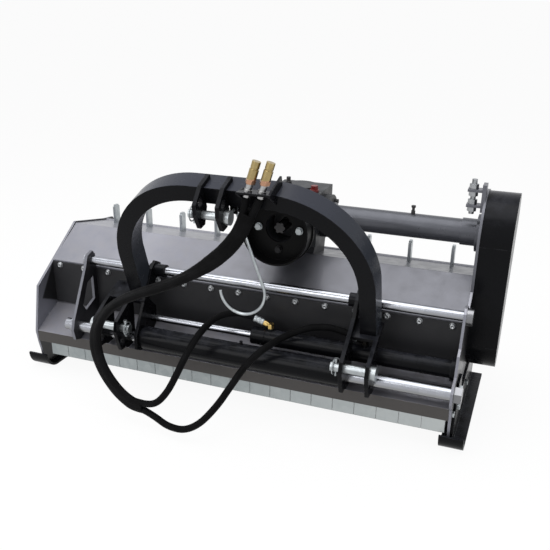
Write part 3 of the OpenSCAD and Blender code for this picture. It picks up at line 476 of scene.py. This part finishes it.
def sweep(bm, line, outline, uv, grow=None, axes=None):
    """Rings of an outline along a line, with the length and girth as the surface's own coordinates."""
    axes = axes or side_axes(line)
    gone, rings = 0.0, []
    for i, c in enumerate(line):
        if i:
            gone += (c - line[i - 1]).length
        f = grow(i) if grow else 1.0
        across, thick = axes[i]
        rings.append((gone, [bm.verts.new(c + across * x * f + thick * y * f) for x, y in outline]))
    n = len(outline)
    girth = [0.0]
    for j in range(n):
        girth.append(girth[-1] + (Vector(outline[(j + 1) % n]) - Vector(outline[j])).length)
    for (u0, r0), (u1, r1) in zip(rings, rings[1:]):
        for j in range(n):
            face = bm.faces.new((r0[j], r0[(j + 1) % n], r1[(j + 1) % n], r1[j]))
            for loop, (u, v) in zip(face.loops, ((u0, girth[j]), (u0, girth[j + 1]), (u1, girth[j + 1]),
                                                 (u1, girth[j]))):
                loop[uv].uv = (u, v)
    return rings


def circle(r, n):
    return [(r * math.cos(2 * math.pi * j / n), r * math.sin(2 * math.pi * j / n)) for j in range(n)]


def lathe(bm, profile, n, matrix):
    """A turned solid: (radius, height) pairs round the matrix's Z axis, with the ends closed."""
    rings = [[bm.verts.new(matrix @ Vector((r * math.cos(2 * math.pi * j / n),
                                            r * math.sin(2 * math.pi * j / n), h))) for j in range(n)]
             for r, h in profile]
    for a, b in zip(rings, rings[1:]):
        for j in range(n):
            bm.faces.new((a[j], a[(j + 1) % n], b[(j + 1) % n], b[j]))
    bm.faces.new(rings[0][::-1])
    bm.faces.new(rings[-1])


# hoses: from the couplings through one woven sleeve, then each to its port

SLEEVE = [(158, -270, 758), (140, -266, 704), (112, -262, 646), (66, -258, 590), (4, -256, 538),
          (-60, -254, 496), (-136, -252, 456), (-218, -252, 420), (-286, -252, 384), (-342, -256, 334),
          (-372, -262, 280), (-374, -270, 222), (-348, -282, 158), (-296, -294, 100), (-238, -304, 68),
          (-190, -310, 66)]
HOSE_A = [(-142, -315, 94), (-106, -308, 136), (-84, -286, 186), (-68, -254, 236), (-52, -208, 282),
          (-34, -156, 312), (-10, -108, 325), (28, -74, 325), (73.2, -60, 314.4), (109.4, -60, 302.65)]
HOSE_B = [(-146, -320, 46), (-92, -334, 34), (-34, -342, 40), (16, -334, 70), (60, -308, 124),
          (92, -276, 180), (120, -240, 230), (150, -198, 266), (180, -148, 284), (216, -102, 298),
          (268, -70, 314), (326, -60, 321), (377.2, -60, 314.4), (413.4, -60, 302.65)]
# sizes in metres: a hose's radius, its place beside the sleeve's middle line, and the length of a mesh step
HOSE_R = 0.0108
HOSE_OFFSET = 0.0118
HOSE_STEP = 0.008
HOSE_SIDES = 20
SLEEVE_HALF = (0.0240, 0.0130)
SLEEVE_SIDES = 36
# the sleeve starts this many steps below the couplings
SLEEVE_SKIP = 6
SPLINE_STEPS = 8
# millimetres in the source
ELBOW = {"hose_a": (111.3, -60, 302.0), "hose_b": (415.3, -60, 302.0)}
ELBOW_TURN = math.radians(-72)
# (radius, height) pairs in millimetres
FERRULE = [(6, -2), (11.6, -2), (12.4, -1), (12.4, 5), (11.4, 6), (11.4, 9), (12.6, 10), (12.6, 16),
           (11.5, 17), (11.5, 20), (12.6, 21), (12.6, 30), (11.2, 32), (10.0, 32)]
COUPLING = {1: at(179.2, -268.8, 758.1), -1: at(139.2, -268.8, 758.1)}
# the flat sleeve turns edge on along the left side: (share of its length, degrees)
TWIST = [(0.0, 0), (0.15, 0), (0.36, 70), (0.58, 70), (0.76, 10), (1.0, 0)]


def sleeve_twist(u):
    for (u0, d0), (u1, d1) in zip(TWIST, TWIST[1:]):
        if u <= u1:
            k = (u - u0) / (u1 - u0)
            return d0 + (d1 - d0) * k * k * (3 - 2 * k)
    return TWIST[-1][1]


def make_hoses():
    core = [at(*p) for p in SLEEVE]
    axes = side_axes(core, sleeve_twist)
    made = {}
    for name, sign, free in (("hose_a", 1, HOSE_A), ("hose_b", -1, HOSE_B)):
        inner = [c + sign * HOSE_OFFSET * a for c, (a, _) in zip(core, axes)]
        points = [COUPLING[sign]] + inner[1:] + [at(*p) for p in free]
        line = even(spline(points, SPLINE_STEPS), HOSE_STEP)
        bm = bmesh.new()
        uv = bm.loops.layers.uv.new("UVMap")
        rings = sweep(bm, line, circle(HOSE_R, HOSE_SIDES), uv)
        bm.faces.new(rings[0][1][::-1])
        bm.faces.new(rings[-1][1])
        made[name] = (piece(name + "_tube", bm, "hose"), line)
    line = even(spline(core, SPLINE_STEPS), HOSE_STEP)
    axes = side_axes(line, sleeve_twist)[SLEEVE_SKIP:]
    line = line[SLEEVE_SKIP:]
    # an oval with a faint waist between the two hoses
    outline = []
    for j in range(SLEEVE_SIDES):
        a = 2 * math.pi * j / SLEEVE_SIDES
        waist = 1 - 0.13 * math.exp(-(math.cos(a) / 0.33) ** 2)
        outline.append((SLEEVE_HALF[0] * math.cos(a), SLEEVE_HALF[1] * math.sin(a) * waist))
    bm = bmesh.new()
    uv = bm.loops.layers.uv.new("UVMap")

    def crease(i):
        """Slight folds along the sleeve."""
        return 0.985 + 0.015 * math.sin(i * 0.9) * math.sin(i * 0.37 + 1)

    outer = sweep(bm, line, outline, uv, crease, axes)
    inner = sweep(bm, line, [(x * 0.965, y * 0.94) for x, y in outline], uv, crease, axes)
    for o, i in ((outer[0][1], inner[0][1]), (outer[-1][1], inner[-1][1])):
        for j in range(len(o)):
            q = (j + 1) % len(o)
            bm.faces.new((o[j], o[q], i[q], i[j]))
    sleeve = piece("hose_sleeve_weave", bm, "hose", "hitch")
    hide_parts("hose_sleeve")
    for name, (obj, line) in made.items():
        m = Matrix.Translation(at(*ELBOW[name])) @ Matrix.Rotation(ELBOW_TURN, 4, "Y") @ MILLIMETRES
        bm = bmesh.new()
        lathe(bm, FERRULE, 28, m)
        ferrule = piece(name + "_ferrule", bm, "zinc", "mower")
        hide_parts(name)
        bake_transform(obj)


make_hoses()


# button heads on the panel bolts: their number, the outer ones' X and their height, in millimetres

BOLTS = 15
BOLT_REACH = 683
BOLT_Z = 363
# (radius, height) pairs in millimetres
BUTTON = [(10.6, 0.2), (10.9, 0.6), (10.9, 2.4), (10.4, 3.05), (9.0, 3.1), (9.2, 3.6), (9.0, 5.2),
          (8.2, 6.6), (7.2, 7.4), (5.4, 7.9), (3.6, 8.0), (3.2, 7.1)]


def make_bolt_heads():
    bm = bmesh.new()
    for i in range(BOLTS):
        x = -BOLT_REACH + 2 * BOLT_REACH / (BOLTS - 1) * i
        m = Matrix.Translation(at(x, 0, BOLT_Z)) @ Matrix.Rotation(math.radians(90), 4, "X") @ MILLIMETRES
        lathe(bm, BUTTON, 24, m)
    piece("panel_bolt_heads", bm, "bolt", "mower")


make_bolt_heads()


# light, floor and background

# name, place, what it aims at, size in metres and power in watts
LAMPS = [("sky_lamp", (-0.4, -0.4, 3.6), (0, 0, 0.2), 3.4, 92),
         ("front_lamp", (-1.4, -3.6, 2.4), (0, 0, 0.3), 2.2, 55),
         ("side_lamp", (3.4, -1.6, 2.0), (0.3, 0, 0.4), 1.6, 18)]


# the background's strength as a light and as seen, the floor's own glow where it is seen, its half width
# and its drop below the skids, which keeps the two from flickering
FILL_LIGHT, SEEN_LIGHT = 0.55, 1.0
FLOOR_GLOW = 0.93
FLOOR_SIZE = 250
FLOOR_DROP = 0.0006


def make_stage():
    world = bpy.data.worlds.new("world")
    scene.world = world
    world.use_nodes = True
    nt = world.node_tree
    nt.nodes.clear()
    out = nt.nodes.new("ShaderNodeOutputWorld")
    back = nt.nodes.new("ShaderNodeBackground")
    back.inputs["Color"].default_value = (0.97, 0.98, 1.0, 1)
    nt.links.new(back.outputs[0], out.inputs[0])
    span = nt.nodes.new("ShaderNodeMapRange")
    nt.links.new(seen_rays(nt), span.inputs["Value"])
    span.inputs[3].default_value = FILL_LIGHT
    span.inputs[4].default_value = SEEN_LIGHT
    nt.links.new(span.outputs[0], back.inputs["Strength"])

    bm = bmesh.new()
    bmesh.ops.create_grid(bm, x_segments=4, y_segments=4, size=FLOOR_SIZE)
    mesh = bpy.data.meshes.new("floor")
    bm.to_mesh(mesh)
    bm.free()
    floor = bpy.data.objects.new("floor", mesh)
    floor.location = (0, 0, -FLOOR_DROP)
    scene.collection.objects.link(floor)
    mat = bpy.data.materials.new("floor_pale")
    mat.use_nodes = True
    nt = mat.node_tree
    nt.nodes.clear()
    out = nt.nodes.new("ShaderNodeOutputMaterial")
    both = nt.nodes.new("ShaderNodeMixShader")
    matt = nt.nodes.new("ShaderNodeBsdfDiffuse")
    matt.inputs["Color"].default_value = (0.90, 0.90, 0.90, 1)
    glow = nt.nodes.new("ShaderNodeEmission")
    span = nt.nodes.new("ShaderNodeMapRange")
    nt.links.new(seen_rays(nt), span.inputs["Value"])
    span.inputs[4].default_value = FLOOR_GLOW
    nt.links.new(span.outputs[0], both.inputs[0])
    nt.links.new(matt.outputs[0], both.inputs[1])
    nt.links.new(glow.outputs[0], both.inputs[2])
    nt.links.new(both.outputs[0], out.inputs[0])
    mesh.materials.append(mat)

    for name, spot, aim, size, power in LAMPS:
        data = bpy.data.lights.new(name, "AREA")
        data.size = size
        data.energy = power
        lamp = bpy.data.objects.new(name, data)
        lamp.location = spot
        lamp.rotation_mode = "QUATERNION"
        lamp.rotation_quaternion = (Vector(aim) - Vector(spot)).to_track_quat("-Z", "Y")
        scene.collection.objects.link(lamp)


def seen_rays(nt):
    """1 for rays that the camera, a mirror or a glass sends."""
    path = nt.nodes.new("ShaderNodeLightPath")
    one = nt.nodes.new("ShaderNodeMath")
    one.operation = "MAXIMUM"
    two = nt.nodes.new("ShaderNodeMath")
    two.operation = "MAXIMUM"
    nt.links.new(path.outputs["Is Camera Ray"], one.inputs[0])
    nt.links.new(path.outputs["Is Glossy Ray"], one.inputs[1])
    nt.links.new(one.outputs[0], two.inputs[0])
    nt.links.new(path.outputs["Is Transmission Ray"], two.inputs[1])
    return two.outputs[0]


make_stage()

bpy.context.view_layer.update()
